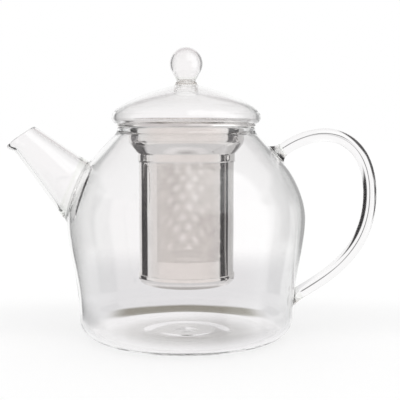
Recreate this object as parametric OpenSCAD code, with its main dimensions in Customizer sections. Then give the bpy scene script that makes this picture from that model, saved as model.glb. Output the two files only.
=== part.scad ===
// Glass teapot with a hanging steel infuser and a lift-off glass lid.
// Origin: on the pot's axis, at the plane that it stands on. +Z up, +X to the handle,
// -X to the spout.

/* [Glass pot] */
// Largest outside radius of the pot
pot_r = 71.8; // [68:0.2:76]
// Height of that widest place above the table
pot_wide_z = 72; // [66:1:76]
// How far the side above the rounded foot stays inside the widest radius
foot_step = 7.1; // [5:0.1:10]
// How far the rounded foot corner reaches inwards
foot_corner_w = 14.8; // [10:0.2:20]
// How high the rounded foot corner reaches
foot_corner_h = 12.5; // [8:0.5:16]
// How far the shoulder stays inside the widest radius
shoulder_step = 13.3; // [11:0.1:15]
// Depth of the shoulder below the mouth
shoulder_drop = 21.2; // [18:0.2:24]
// Slope of the glass where the shoulder turns in to the neck
shoulder_angle = 48; // [42:1:54]
// Height of the mouth's top edge
mouth_z = 127.2; // [124:0.2:131]
// Gap between the infuser's cup and the mouth
mouth_gap = 3.5; // [2.5:0.1:5]
// Thickness of the mouth's fire-polished rim
mouth_rim_t = 3.2; // [2.8:0.1:4]
// Glass thickness of the pot's side
side_t = 2.2; // [1.8:0.1:3]
// Glass thickness of the pot's bottom
bottom_t = 3.2; // [2.4:0.1:4.5]
// Height of the push-up under the bottom
push_up = 1.8; // [0.8:0.1:3]
// Radius at which the push-up starts to rise
push_out_r = 29; // [24:0.5:34]
// Radius of the flat top of the push-up
push_in_r = 17; // [12:0.5:20]
// Height of the round pip left in the middle of the bottom
pip_h = 1; // [0.4:0.1:1.6]
// Radius of that pip
pip_r = 8; // [5:0.5:11]

/* [Spout] */
// Depth below the mouth at which the spout's axis meets the pot
spout_drop = 35.5; // [32:0.1:39]
// Angle of the spout above the horizontal
spout_angle = 43.9; // [39:0.1:49]
// Length of the spout along its axis, from the pot to the tip
spout_l = 42.7; // [36:0.1:50]
// Outside radius of the spout at the pot
spout_root_r = 16.9; // [14:0.1:18]
// Outside radius of the spout at the tip
spout_tip_r = 9.2; // [8:0.1:11]
// Glass thickness of the spout
spout_t = 1.8; // [1.4:0.1:2.4]
// How far the tip's cut leans from square to the axis
tip_lean = 10.5; // [0:0.5:14]
// How far the pouring lip curls out below the tip
lip_out = 2.6; // [1.5:0.1:3.5]
// Radius of the round of the pouring lip's edge
lip_t = 0.9; // [0.6:0.1:1.2]
// How far the pouring lip reaches round the tip, in degrees
lip_sweep = 110; // [80:5:140]
// Radius of the round of the fused bead about the spout's root
spout_bead_r = 2.1; // [1.6:0.1:3.2]
// Angle of the bead's axis above the horizontal
bead_angle = 22.7; // [18:0.1:27]

/* [Handle] */
// Diameter of the solid glass rod
rod_d = 8; // [6.5:0.25:9.5]
// Depth of the upper joint below the mouth
handle_drop = 16.7; // [13.5:0.1:19]
// Height of the lower joint on the pot
handle_low_z = 23.8; // [20:0.2:28]
// Rise of the rod at the upper joint, in degrees
top_angle = 35; // [28:1:42]
// Rise of the rod at the lower joint, in degrees
low_angle = 31; // [24:1:38]
// From the pot's widest place to the middle of the rod, across the finger gap
handle_reach = 39.6; // [34:0.2:46]
// Height at which the rod is furthest out
handle_wide_z = 86; // [78:1:92]
// Diameter of the upper joint's glass pad
top_pad_d = 12.5; // [10:0.5:15]
// Diameter of the lower joint's glass pad
low_pad_d = 9.5; // [9.5:0.5:13]
// Length of the pads along the rod
pad_l = 5; // [4:0.5:7]

/* [Infuser] */
// Outside radius of the sleeve that holds the strainer wall
sleeve_r = 29.2; // [27:0.2:30]
// Length of that sleeve
sleeve_h = 5; // [3:0.2:7]
// How far the cup above stands out from the sleeve
cup_step = 5.6; // [4:0.2:7]
// Depth of the cup's straight wall below the flange
cup_h = 9.6; // [7:0.2:12]
// Height of the cone from the cup down to the sleeve
cone_h = 6.8; // [5:0.2:9]
// How far the flange laps over the mouth
flange_lap = 3.6; // [3.2:0.1:5]
// Height of the hem rolled round the flange
hem_h = 1.8; // [1.4:0.1:2.4]
// Sheet thickness of the pressed collar and pan
sheet_t = 0.6; // [0.4:0.1:0.8]
// Sheet thickness of the strainer wall
wall_t = 0.5; // [0.3:0.1:0.6]
// Depth of the infuser below its flange
infuser_h = 94.6; // [84:0.2:101]
// Depth of the bottom pan
pan_h = 6.7; // [6.1:0.1:10]
// Outside radius of the pan's rounded corner
pan_corner = 5; // [3.5:0.1:5.4]
// Play between the strainer wall and what it is welded into
weld_play = 0.05; // [0.02:0.01:0.1]

/* [Lid] */
// How far the lid stands out past the flange
lid_lap = 3; // [2:0.1:5]
// Height of the lid's thick rim
lid_rim_h = 3.6; // [3:0.1:5]
// Width of the round of that rim
lid_rim_w = 3.5; // [2.5:0.1:4.5]
// Rise of the dome above the rim
dome_h = 20.6; // [16:0.2:24]
// Glass thickness of the dome
dome_t = 2.2; // [1.8:0.1:3]
// Glass thickness of the dome where it meets the rim
dome_foot_t = 2.8; // [2:0.1:3.4]
// Depth of the collar that centres the lid in the infuser
collar_h = 7.5; // [5:0.5:8.5]
// Glass thickness of that collar
collar_t = 2; // [1.6:0.1:2.6]
// Play between that collar and the infuser's cup
collar_play = 0.9; // [0.5:0.1:1.5]
// Radius of the knob's ball
ball_r = 9.9; // [8:0.1:12]
// Glass thickness of the knob's hollow ball
ball_t = 1.8; // [1.4:0.1:2.4]
// Radius of the knob's neck at its waist
neck_r = 5.9; // [5:0.1:7]
// Height of the neck between the dome and the ball
neck_h = 3.5; // [2.5:0.1:7]

/* [Hidden] */
$fn = 96;

glass = [0.86, 0.9, 0.9, 0.45];
steel = "silver";
// How far a cutting form runs past what it cuts
past = 1;

// ---- curves ----
// Points along a cubic curve, without its first point
function curve(a, b, c, d, n) = [for (i = [1:n]) let (t = i / n, s = 1 - t)
    s * s * s * a + 3 * s * s * t * b + 3 * s * t * t * c + t * t * t * d];
// Points along an ellipse's arc, from angle a0 to a1
function arc(centre, rx, ry, a0, a1, n) = [for (i = [0:n]) let (a = a0 + (a1 - a0) * i / n)
    centre + [rx * cos(a), ry * sin(a)]];
// Numbers from a to b in n even steps
function steps(a, b, n) = [for (i = [0:n]) a + (b - a) * i / n];
function unit(v) = v / norm(v);
// Direction of a path at point i
function heading(path, i) = unit(path[min(i + 1, len(path) - 1)] - path[max(i - 1, 0)]);
// A path moved sideways by d, to the left of its own direction
function beside(path, d) = [for (i = [0:len(path) - 1]) let (h = heading(path, i))
    path[i] + d * [-h[1], h[0]]];
function reversed(path) = [for (i = [len(path) - 1:-1:0]) path[i]];
// Falls smoothly from 1 at radius r0 to 0 at radius r1
function fade(r, r0, r1) = (1 + cos(180 * max(0, min(1, (r - r0) / (r1 - r0))))) / 2;

// ---- radii that fit into each other, from the inside out ----
cup_r = sleeve_r + cup_step;
mouth_r = cup_r + mouth_gap;
rim_r = mouth_r + mouth_rim_t;
flange_r = mouth_r + flange_lap;
lid_r = flange_r + lid_lap;

// ---- pot profile, radius against height ----
rim_h = 2.2;
rim_round = mouth_rim_t * 0.32;
neck = [rim_r + 1.1, mouth_z - 4.2];
shoulder = [pot_r - shoulder_step, mouth_z - shoulder_drop];
slope = [-cos(shoulder_angle), sin(shoulder_angle)];
// Lengths over which the side bends at its belly, shoulder and neck
belly_low = 19;
belly_high = 12;
shoulder_bend = shoulder_step * 0.8;
neck_bend = 4.95;
foot_r = pot_r - foot_step;
foot_in_r = foot_r - foot_corner_w;
side_out = concat(
    arc([foot_in_r, foot_corner_h], foot_corner_w, foot_corner_h, -90, 0, 10),
    curve([foot_r, foot_corner_h], [foot_r, pot_wide_z / 2], [pot_r, pot_wide_z - belly_low],
        [pot_r, pot_wide_z], 12),
    curve([pot_r, pot_wide_z], [pot_r, pot_wide_z + belly_high],
        shoulder - shoulder_bend * slope, shoulder, 10),
    curve(shoulder, shoulder + shoulder_bend * slope, neck - neck_bend * slope, neck, 6));
mouth_out = concat(
    [[rim_r, mouth_z - rim_h]],
    arc([rim_r - rim_round, mouth_z - rim_round], rim_round, rim_round, 0, 90, 4),
    arc([mouth_r + rim_round, mouth_z - rim_round], rim_round, rim_round, 90, 180, 4),
    [[mouth_r, mouth_z - rim_h - side_t / 3]]);
inner_low_z = 1.75 * bottom_t;
side_in = [for (p = beside(side_out, side_t)) if (p[1] > inner_low_z) p];
floor_flat_r = foot_in_r - 4;
floor_bend = 9;
corner_bend = 3.6;
floor_corner = curve([floor_flat_r, bottom_t], [floor_flat_r + floor_bend, bottom_t],
    side_in[0] - corner_bend * heading(side_in, 0), side_in[0], 6);
function underside(r) = push_up * fade(r, push_in_r, push_out_r);
function floor_top(r) = bottom_t + 0.7 * underside(r) + pip_h * fade(r, 0, pip_r);
under_line = [for (r = concat([0], steps(push_in_r, push_out_r, 6))) [r, underside(r)]];
floor_line = [for (r = concat([floor_flat_r], steps(push_out_r, push_in_r, 6),
    steps(pip_r, 0, 8))) [r, floor_top(r)]];

// Outside radius of the pot at a height
function pot_r_at(z) = lookup(z, [for (p = side_out) [p[1], p[0]]]);

// ---- spout ----
spout_root_z = mouth_z - spout_drop;
spout_root = [-pot_r_at(spout_root_z), 0, spout_root_z];
spout_taper = (spout_root_r - spout_tip_r) / spout_l;
// How far the cone is followed below its root, above its tip and through the pot's wall
spout_below = 1.5 * spout_root_r;
spout_above = 8;
spout_hole = 14;
// The lip's edge stands this far under the plane of the cut
lip_set = 0.3;
// The bead's middle stands this far out of the spout's root radius
bead_out = 0.3;
// Half of the slit left in the bead's round, on the side that is inside the spout's glass
bead_slit = 15;

// ---- handle ----
handle_top_z = mouth_z - handle_drop;
handle_far = [pot_r + handle_reach, 0, handle_wide_z];
top_start = [pot_r_at(handle_top_z), 0, handle_top_z];
low_start = [pot_r_at(handle_low_z), 0, handle_low_z];
top_dir = [cos(top_angle), 0, sin(top_angle)];
low_dir = [cos(low_angle), 0, sin(low_angle)];
rod_from = top_start + pad_l * top_dir;
rod_to = low_start + pad_l * low_dir;
// The rod is straight for this length at each joint, square to the pad's face
rod_straight = 1.5;
bend_from = rod_from + rod_straight * top_dir;
bend_to = rod_to + rod_straight * low_dir;
// Lengths over which the rod bends near its joints and at its furthest place
top_run = 31;
top_bend = 36;
low_bend = 33;
low_run = 24;
up = [0, 0, 1];
handle_path = concat([rod_from, bend_from],
    curve(bend_from, rod_from + top_run * top_dir, handle_far + top_bend * up, handle_far, 24),
    curve(handle_far, handle_far - low_bend * up, rod_to + low_run * low_dir, bend_to, 24),
    [rod_to]);
rod_sides = 24;
pad_inside = 6;

// ---- infuser ----
flange_z = mouth_z;
pan_z = flange_z - infuser_h;
cup_low_z = flange_z - cup_h;
sleeve_top_z = cup_low_z - cone_h;
sleeve_low_z = sleeve_top_z - sleeve_h;
cup_bend = 2;
flange_ease = 0.8;
// The inner face of the cone lies this much higher than the outer one
cone_lift = sheet_t / 2;
wall_r = sleeve_r - sheet_t - weld_play;
wall_low_z = pan_z + pan_corner + 0.2;

// ---- lid ----
lid_z = flange_z + hem_h;
lid_rim_z = lid_z + lid_rim_h;
collar_r = cup_r - sheet_t - collar_play;
collar_in_r = collar_r - collar_t;
collar_ease = 1;
dome_top = lid_rim_z + dome_h;
// Share of the radius over which the crown is nearly level, how far it falls there, and
// the share of the rise over which the flank is nearly upright
crown = 0.4;
crown_fall = 2.2;
flank = 0.39;
function dome_line(r, top) = concat([[0, top]], curve([0, top], [crown * r, top - crown_fall],
    [r, lid_rim_z + flank * dome_h], [r, lid_rim_z], 20));
dome_out = dome_line(lid_r, dome_top);
dome_in = dome_line(lid_r - dome_foot_t, dome_top - dome_t);
neck_foot_r = neck_r + 1.5;
neck_low_z = lookup(neck_foot_r, dome_out);
neck_ring_r = neck_r + 0.7;
ball_seat_r = neck_r - 0.5;
ball_seat_z = dome_top + neck_h;
ball_z = ball_seat_z + sqrt(pow(ball_r, 2) - pow(ball_seat_r, 2));

module lathe(points) {
    rotate_extrude() polygon(points);
}

// The pot's outer form without its hollow
module pot_solid() {
    lathe(concat([[0, 0]], side_out, [[rim_r, mouth_z - rim_h], [rim_r, mouth_z],
        [0, mouth_z]]));
}

// Stands at the spout's root, with +Z along the spout's axis towards the tip
module at_spout() {
    translate(spout_root) rotate([0, spout_angle - 90, 0]) children();
}

// Stands in the plane of the spout's cut tip
module at_tip() {
    translate([0, 0, spout_l]) rotate([0, tip_lean, 0]) children();
}

// A cone along the spout's axis that is t thinner than the spout's outside
module spout_cone(t, from_z, to_z) {
    translate([0, 0, from_z])
        cylinder(h = to_z - from_z, r1 = spout_root_r - t - spout_taper * from_z,
            r2 = spout_root_r - t - spout_taper * to_z);
}

module glass_body() {
    color(glass) difference() {
        lathe(concat(under_line, side_out, mouth_out, reversed(side_in),
            reversed(floor_corner), floor_line));
        at_spout() spout_cone(spout_t, -spout_below, spout_hole);
    }
}

// The edge curled outwards round the lower part of the tip
module pouring_lip() {
    at_tip() translate([0, 0, -lip_t - lip_set]) rotate([0, 0, 180 - lip_sweep / 2])
        rotate_extrude(angle = lip_sweep) translate([spout_tip_r - spout_t, 0])
            polygon(concat([[0, -lip_t]], arc([lip_out, 0], lip_t, lip_t, -90, 90, 8),
                [[0, lip_t]]));
}

module spout() {
    cut_w = 6 * spout_tip_r;
    color(glass) difference() {
        at_spout() difference() {
            union() {
                difference() {
                    spout_cone(0, -spout_below + past, spout_l + spout_above);
                    at_tip() translate([-cut_w / 2, -cut_w / 2, 0])
                        cube([cut_w, cut_w, 4 * spout_above]);
                }
                pouring_lip();
            }
            spout_cone(spout_t, -spout_below, spout_l + spout_above + past);
        }
        pot_solid();
    }
}

module spout_bead() {
    color(glass) difference() {
        translate(spout_root) rotate([0, bead_angle - 90, 0])
            lathe(arc([spout_root_r + bead_out, 0], spout_bead_r, spout_bead_r, bead_slit,
                360 - bead_slit, 11));
        at_spout() spout_cone(0, -spout_below, spout_l);
        pot_solid();
    }
}

// A round rod swept along points in the plane y = 0
module rod(path, d, sides) {
    rings = [for (i = [0:len(path) - 1]) let (h = heading(path, i), side = [-h[2], 0, h[0]])
        for (k = [0:sides - 1]) path[i] + d / 2 * (cos(360 * k / sides) * side
            + sin(360 * k / sides) * [0, 1, 0])];
    last = (len(path) - 1) * sides;
    polyhedron(rings, concat(
        [[for (k = [0:sides - 1]) k]],
        [for (i = [0:len(path) - 2]) for (k = [0:sides - 1]) let (a = i * sides,
            next = (k + 1) % sides) [a + k, a + sides + k, a + sides + next, a + next]],
        [[for (k = [sides - 1:-1:0]) last + k]]));
}

module handle() {
    color(glass) rod(handle_path, rod_d, rod_sides);
}

// The fused pad between the rod's end and the pot
module pad(start, angle, d) {
    difference() {
        translate(start) rotate([0, 90 - angle, 0]) lathe(concat(
            [[0, -pad_inside], [d / 2, -pad_inside]],
            curve([d / 2, -pad_l / 5], [d / 2, pad_l * 0.4], [rod_d / 2 + 0.2, pad_l * 0.6],
                [rod_d / 2, pad_l], 8), [[0, pad_l]]));
        pot_solid();
    }
}

module handle_top_pad() {
    color(glass) pad(top_start, top_angle, top_pad_d);
}

module handle_low_pad() {
    color(glass) pad(low_start, low_angle, low_pad_d);
}

// One face of the collar's sheet, t inside the outer face, from the sleeve up to the cup
function funnel(t, lift) = concat(
    [[sleeve_r - t, sleeve_low_z], [sleeve_r - t, sleeve_top_z + lift]],
    curve([sleeve_r - t, sleeve_top_z + lift],
        [cup_r - t - cup_bend / 2, cup_low_z - cup_bend + lift],
        [cup_r - t, cup_low_z - cup_bend / 5 + lift], [cup_r - t, cup_low_z + cup_bend], 8));

module infuser_collar() {
    hem_r = hem_h / 2;
    color(steel) lathe(concat(
        funnel(0, 0),
        [[cup_r, flange_z - flange_ease], [cup_r + flange_ease, flange_z],
        [flange_r - hem_r, flange_z]],
        arc([flange_r - hem_r, flange_z + hem_r], hem_r, hem_r, -80, 90, 8),
        [[cup_r + flange_ease - sheet_t / 3, flange_z + hem_h],
        [cup_r - sheet_t, flange_z + hem_h - flange_ease]],
        reversed(funnel(sheet_t, cone_lift))));
}

module strainer_wall() {
    h = sleeve_top_z - wall_low_z;
    color(steel) translate([0, 0, wall_low_z]) difference() {
        cylinder(h = h, r = wall_r);
        translate([0, 0, -past]) cylinder(h = h + 2 * past, r = wall_r - wall_t);
    }
}

module infuser_pan() {
    corner = [sleeve_r - pan_corner, pan_z + pan_corner];
    inner = pan_corner - sheet_t;
    color(steel) lathe(concat([[0, pan_z]],
        arc(corner, pan_corner, pan_corner, -90, 0, 8),
        [[sleeve_r, pan_z + pan_h], [sleeve_r - sheet_t, pan_z + pan_h]],
        arc(corner, inner, inner, 0, -90, 8), [[0, pan_z + sheet_t]]));
}

module lid_dome() {
    color(glass) lathe(concat(dome_out, reversed(dome_in)));
}

module lid_rim() {
    color(glass) lathe(concat(
        [[collar_r, lid_z - collar_h], [collar_r, lid_z - collar_ease],
        [collar_r + collar_ease, lid_z]],
        arc([lid_r - lid_rim_w, lid_rim_z], lid_rim_w, lid_rim_h, -90, 0, 8),
        [[collar_r, lid_rim_z], [collar_in_r, lid_rim_z - collar_t],
        [collar_in_r, lid_z - collar_h]]));
}

module knob_neck() {
    color(glass) difference() {
        lathe([[0, neck_low_z - past], [neck_foot_r, neck_low_z - past],
            [neck_foot_r, neck_low_z + 0.17 * neck_h], [neck_r + 0.6, dome_top + 0.09 * neck_h],
            [neck_r, dome_top + 0.28 * neck_h], [neck_ring_r, dome_top + 0.46 * neck_h],
            [neck_ring_r, dome_top + 0.69 * neck_h], [ball_seat_r + 0.3, ball_seat_z + 0.3],
            [0, ball_seat_z + 0.3]]);
        lathe(concat([[0, 0], [lid_r, 0]], reversed(dome_out)));
        translate([0, 0, ball_z]) sphere(r = ball_r);
    }
}

module knob_ball() {
    color(glass) translate([0, 0, ball_z]) difference() {
        sphere(r = ball_r);
        sphere(r = ball_r - ball_t);
    }
}

glass_body();
spout();
spout_bead();
handle();
handle_top_pad();
handle_low_pad();
infuser_collar();
strainer_wall();
infuser_pan();
lid_dome();
lid_rim();
knob_neck();
knob_ball();
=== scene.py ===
from dataclasses import dataclass
from math import atan2, ceil, cos, degrees, hypot, inf, pi, radians, sin, sqrt, tan

import bmesh
import bpy
import numpy as np
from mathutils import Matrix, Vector


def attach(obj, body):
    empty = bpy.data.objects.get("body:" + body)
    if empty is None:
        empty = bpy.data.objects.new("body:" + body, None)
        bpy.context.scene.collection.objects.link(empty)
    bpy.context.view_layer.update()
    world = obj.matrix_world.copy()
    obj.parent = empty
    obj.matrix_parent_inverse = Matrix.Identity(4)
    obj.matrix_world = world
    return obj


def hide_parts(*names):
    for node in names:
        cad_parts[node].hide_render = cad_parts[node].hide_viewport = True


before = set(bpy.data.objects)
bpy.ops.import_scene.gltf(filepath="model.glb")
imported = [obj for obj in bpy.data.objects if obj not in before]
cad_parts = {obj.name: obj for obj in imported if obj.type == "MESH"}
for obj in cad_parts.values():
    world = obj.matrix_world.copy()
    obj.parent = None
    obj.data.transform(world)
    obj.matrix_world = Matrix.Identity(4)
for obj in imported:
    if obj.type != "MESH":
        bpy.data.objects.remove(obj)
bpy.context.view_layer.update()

MM = 0.001
scene = bpy.context.scene

# ---- sizes, in millimetres: the same driving sizes as the solids ----
POT_R = 71.8
POT_WIDE_Z = 72
FOOT_STEP = 7.1
FOOT_CORNER_W = 14.8
FOOT_CORNER_H = 12.5
SHOULDER_STEP = 13.3
SHOULDER_DROP = 21.2
SHOULDER_ANGLE = 48
MOUTH_Z = 127.2
MOUTH_GAP = 3.5
MOUTH_RIM_T = 3.2
SIDE_T = 2.2
BOTTOM_T = 3.2
PUSH_UP = 1.8
PUSH_OUT_R = 29
PUSH_IN_R = 17
PIP_H = 1
PIP_R = 8
SPOUT_ROOT_Z = 91.7
SPOUT_ANGLE = 43.9
SPOUT_L = 42.7
SPOUT_ROOT_R = 16.9
SPOUT_TIP_R = 9.2
SPOUT_T = 1.8
TIP_LEAN = 10.5
LIP_OUT = 2.6
BEAD_ANGLE = 22.7
ROD_D = 8
HANDLE_TOP_Z = 110.5
HANDLE_LOW_Z = 23.8
TOP_ANGLE = 35
LOW_ANGLE = 31
HANDLE_REACH = 39.6
HANDLE_WIDE_Z = 86
TOP_PAD_D = 12.5
LOW_PAD_D = 9.5
PAD_L = 5
SLEEVE_R = 29.2
SLEEVE_H = 5
CUP_STEP = 5.6
CUP_H = 9.6
CONE_H = 6.8
FLANGE_LAP = 3.6
HEM_H = 1.8
SHEET_T = 0.6
WALL_T = 0.5
PAN_Z = 32.6
PAN_H = 6.7
PAN_CORNER = 5
LID_LAP = 3
LID_RIM_H = 3.6
LID_RIM_W = 3.5
DOME_H = 20.6
DOME_T = 2.2
DOME_FOOT_T = 2.8
COLLAR_H = 7.5
COLLAR_T = 2
COLLAR_PLAY = 0.9
BALL_R = 9.9
BALL_WALL = 1.2
NECK_R = 5.9
NECK_H = 3.5

CUP_R = SLEEVE_R + CUP_STEP
MOUTH_R = CUP_R + MOUTH_GAP
RIM_R = MOUTH_R + MOUTH_RIM_T
FLANGE_R = MOUTH_R + FLANGE_LAP
LID_R = FLANGE_R + LID_LAP
CUP_LOW_Z = MOUTH_Z - CUP_H
SLEEVE_TOP_Z = CUP_LOW_Z - CONE_H
SLEEVE_LOW_Z = SLEEVE_TOP_Z - SLEEVE_H
WALL_R = SLEEVE_R - SHEET_T - 0.05
LID_Z = MOUTH_Z + HEM_H
LID_RIM_Z = LID_Z + LID_RIM_H
DOME_TOP = LID_RIM_Z + DOME_H

TURN = 2 * pi
AROUND = 240


# ---- curves in the plane of radius and height ----
def vec(*parts):
    return np.array(parts, float)


def between(a, b, t):
    """The value t of the way from a to b."""
    return (1 - t) * a + t * b


def bend(a, b, c, t):
    """A point on the curve from a to c that is drawn towards b."""
    return (1 - t) ** 2 * a + 2 * (1 - t) * t * b + t * t * c


def cubic(a, b, c, d, t):
    """A point on the curve that leaves a towards b and comes to d from c."""
    return (1 - t) ** 3 * a + 3 * (1 - t) ** 2 * t * b + 3 * (1 - t) * t * t * c + t ** 3 * d


def curve(a, b, c, d, n):
    """Points along a cubic curve, without its first point."""
    a, b, c, d = (np.array(p, float) for p in (a, b, c, d))
    return [cubic(a, b, c, d, t) for t in np.linspace(0, 1, n + 1)[1:]]


def straight(a, b, n):
    """A number of points along a line, with both its ends."""
    return list(np.linspace(a, b, n))


def arc(centre, r, a0, a1, n, up=None):
    """Points along an arc, from angle a0 to a1 in degrees; up is an ellipse's half height."""
    return [vec(centre[0] + r * cos(radians(a)), centre[1] + (up or r) * sin(radians(a)))
            for a in np.linspace(a0, a1, n + 1)]


def evenly(path, step):
    """The same path with points about one step apart."""
    path = np.array(path)
    steps = np.linalg.norm(np.diff(path, axis=0), axis=1)
    along = np.concatenate([[0], np.cumsum(steps)])
    n = max(1, ceil(along[-1] / step))
    at = np.linspace(0, along[-1], n + 1)
    return [vec(*(np.interp(s, along, part) for part in path.T)) for s in at]


def beside(path, d):
    """The path moved sideways by d, to the left of its own direction."""
    path = np.array(path)
    h = np.gradient(path, axis=0)
    h /= np.linalg.norm(h, axis=1)[:, None]
    return path + d * np.stack([-h[:, 1], h[:, 0]], axis=1)


def turns(n):
    """A number of angles evenly round a full turn."""
    return np.linspace(0, TURN, n, endpoint=False)


def fade(r, r0, r1):
    """A soft fall from 1 at r0 to 0 at r1."""
    return (1 + cos(pi * max(0, min(1, (r - r0) / (r1 - r0))))) / 2


def smooth(x, lo=0.0, hi=1.0):
    """A soft step from 0 at lo to 1 at hi, which may be the lower of the two."""
    x = min(1.0, max(0.0, (x - lo) / (hi - lo)))
    return x * x * (3 - 2 * x)


# ---- one closed form, gathered as tagged faces and then parted into pieces ----
ON_AXIS = 1e-6
SAME_POINT = 0.003


class Skin:
    """A closed surface whose faces carry the names of the pieces that they belong to."""

    def __init__(self):
        self.points = []
        self.faces = []
        self.tags = []
        # Faces from this number on bound an empty space inside the glass
        self.cavity_from = inf

    def ring(self, points):
        """Add points and give back their numbers."""
        start = len(self.points)
        self.points.extend(tuple(p) for p in points)
        return list(range(start, len(self.points)))

    def band(self, low, high, tag, left_open=()):
        """One row of faces between two rings, either of which may be a single point."""
        n = max(len(low), len(high))
        for k in range(n):
            if k in left_open:
                continue
            m = (k + 1) % n
            corners = (low[k % len(low)], low[m % len(low)], high[m % len(high)],
                       high[k % len(high)])
            self.faces.append(tuple(dict.fromkeys(corners)))
            self.tags.append(tag)

    def loft(self, rings, tags):
        """Bands between rings of points; tags holds one name per band, or one for all."""
        made = [self.ring(r) for r in rings]
        for j in range(len(made) - 1):
            self.band(made[j], made[j + 1], tags if isinstance(tags, str) else tags[j])

    def lathe(self, profile, tag, holes=()):
        """A turned surface; holes are blocks of columns and rows that are left open."""
        around = turns(AROUND)
        rings = [self.ring([(r * cos(a), r * sin(a), z) for a in (around if r > ON_AXIS else [0])])
                 for r, z in profile]
        for j in range(len(profile) - 1):
            left_open = [k for k in range(AROUND) if any(hole.holds(k, j) for hole in holes)]
            self.band(rings[j], rings[j + 1], tag, left_open)

    def pieces(self, body, slot, made_of):
        """One object per tag, made of (solid, material), with the normals of the whole form so
        that no seam shows."""
        bm = bmesh.new()
        verts = [bm.verts.new(p) for p in self.points]
        names = sorted(set(self.tags))
        inside = set()
        for k, (corners, tag) in enumerate(zip(self.faces, self.tags)):
            f = bm.faces.new([verts[c] for c in corners])
            f.material_index = names.index(tag)
            f.smooth = True
            if k >= self.cavity_from:
                inside.add(f)
        bmesh.ops.remove_doubles(bm, verts=bm.verts, dist=SAME_POINT)
        bmesh.ops.recalc_face_normals(bm, faces=bm.faces)
        bmesh.ops.reverse_faces(bm, faces=[f for f in inside if f.is_valid])
        bm.normal_update()
        for index, name in enumerate(names):
            chosen = [f for f in bm.faces if f.material_index == index]
            order = {}
            for f in chosen:
                for v in f.verts:
                    order.setdefault(v, len(order))
            mesh = bpy.data.meshes.new(name)
            mesh.from_pydata([v.co * MM for v in order], [],
                             [[order[v] for v in f.verts] for f in chosen])
            mesh.shade_smooth()
            mesh.normals_split_custom_set_from_vertices([v.normal for v in order])
            add_piece(name, mesh, body, slot, *made_of[name])
        bm.free()


def new_object(name, data):
    """A new object, put into the scene."""
    made = bpy.data.objects.new(name, data)
    scene.collection.objects.link(made)
    return made


def add_piece(name, mesh, body, slot, solid, material):
    """Put a piece into the scene on its body, with the solid it stands for; slot is not used."""
    piece = new_object(name, mesh)
    mesh.materials.append(material)
    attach(piece, body)
    if solid:
        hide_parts(solid)


@dataclass
class Block:
    """A rectangle of a turned surface's columns and rows, left open for something fused on."""
    middle: int
    half: int
    first: int
    last: int

    def holds(self, col, row):
        off = (col - self.middle + AROUND // 2) % AROUND - AROUND // 2
        return -self.half <= off < self.half and self.first <= row < self.last

    def raised(self, rows):
        """The same block on a profile that has more rows below it."""
        return Block(self.middle, self.half, self.first + rows, self.last + rows)

    def border(self, profile):
        """The angle and height of each point round the block."""
        cols = range(-self.half, self.half + 1)
        cells = [(c, r) for c in cols for r in range(self.first, self.last + 1)
                 if abs(c) == self.half or r in (self.first, self.last)]
        return [((self.middle + c) * TURN / AROUND, profile[r][1]) for c, r in cells]


class Wall:
    """A turned wall whose radius is known at each height."""

    def __init__(self, path):
        self.r, self.z = np.array(sorted(path, key=lambda p: p[1])).T

    def radius(self, z):
        return float(np.interp(z, self.z, self.r))

    def point(self, angle, z):
        r = self.radius(z)
        return vec(r * cos(angle), r * sin(angle), z)

    def normal(self, p):
        """The direction straight out of the wall at p."""
        step = 0.2
        slope = (self.radius(p[2] + step) - self.radius(p[2] - step)) / (2 * step)
        r = hypot(p[0], p[1])
        n = vec(p[0] / r, p[1] / r, -slope)
        return n / np.linalg.norm(n)

    def outside(self, p):
        """How far p lies outside the wall, measured level."""
        return hypot(p[0], p[1]) - self.radius(p[2])


@dataclass
class Axis:
    """The straight axis of something round: start, direction, and the side where angle 0 is."""
    start: np.ndarray
    z: np.ndarray
    x: np.ndarray
    y = vec(0, 1, 0)

    def out(self, angle):
        """The direction away from the axis at this angle round it."""
        return cos(angle) * self.x + sin(angle) * self.y

    def point(self, angle, radius, along):
        return self.start + radius * self.out(angle) + along * self.z

    def angle(self, p):
        rel = p - self.start
        return atan2(rel @ self.y, rel @ self.x) % TURN


@dataclass
class Fused:
    """Something round that is fused to a wall, with a fillet round it."""
    wall: Wall
    axis: Axis
    radius_at: object
    fillet: float
    reach: tuple

    def along(self, phi):
        """How far along the axis the side passes out through the wall."""
        low, high = self.reach
        halvings = 40
        for _ in range(halvings):
            mid = (low + high) / 2
            if self.wall.outside(self.axis.point(phi, self.radius_at(mid), mid)) > 0:
                high = mid
            else:
                low = mid
        return (low + high) / 2

    def meet(self, phi):
        """Where the side would meet the wall without a fillet."""
        t = self.along(phi)
        return self.axis.point(phi, self.radius_at(t), t)

    def foot(self, phi):
        """Where the fillet ends on the wall."""
        meet = self.meet(phi)
        n = self.wall.normal(meet)
        d = self.axis.out(phi)
        d = d - (d @ n) * n
        p = meet + self.fillet * d / np.linalg.norm(d)
        return self.wall.point(atan2(p[1], p[0]), p[2])

    def join(self, block, profile, steps):
        """Rings on the wall from the block's border in to the fillet, and the angles used."""
        border = [(a, z, self.axis.angle(self.wall.point(a, z))) for a, z in block.border(profile)]
        border.sort(key=lambda b: b[2])
        rings = [[] for _ in range(steps + 1)]
        for a, z, phi in border:
            foot = self.foot(phi)
            near = atan2(foot[1], foot[0])
            near = a + (near - a + pi) % TURN - pi
            for k in range(steps + 1):
                t = k / steps
                rings[k].append(self.wall.point(a + t * (near - a), z + t * (foot[2] - z)))
        return rings, [b[2] for b in border]


def even_angles(angles):
    """Evenly spaced angles that stay as close as they can to the given ones."""
    even = turns(len(angles))
    return even + np.mean(angles - even)


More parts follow.
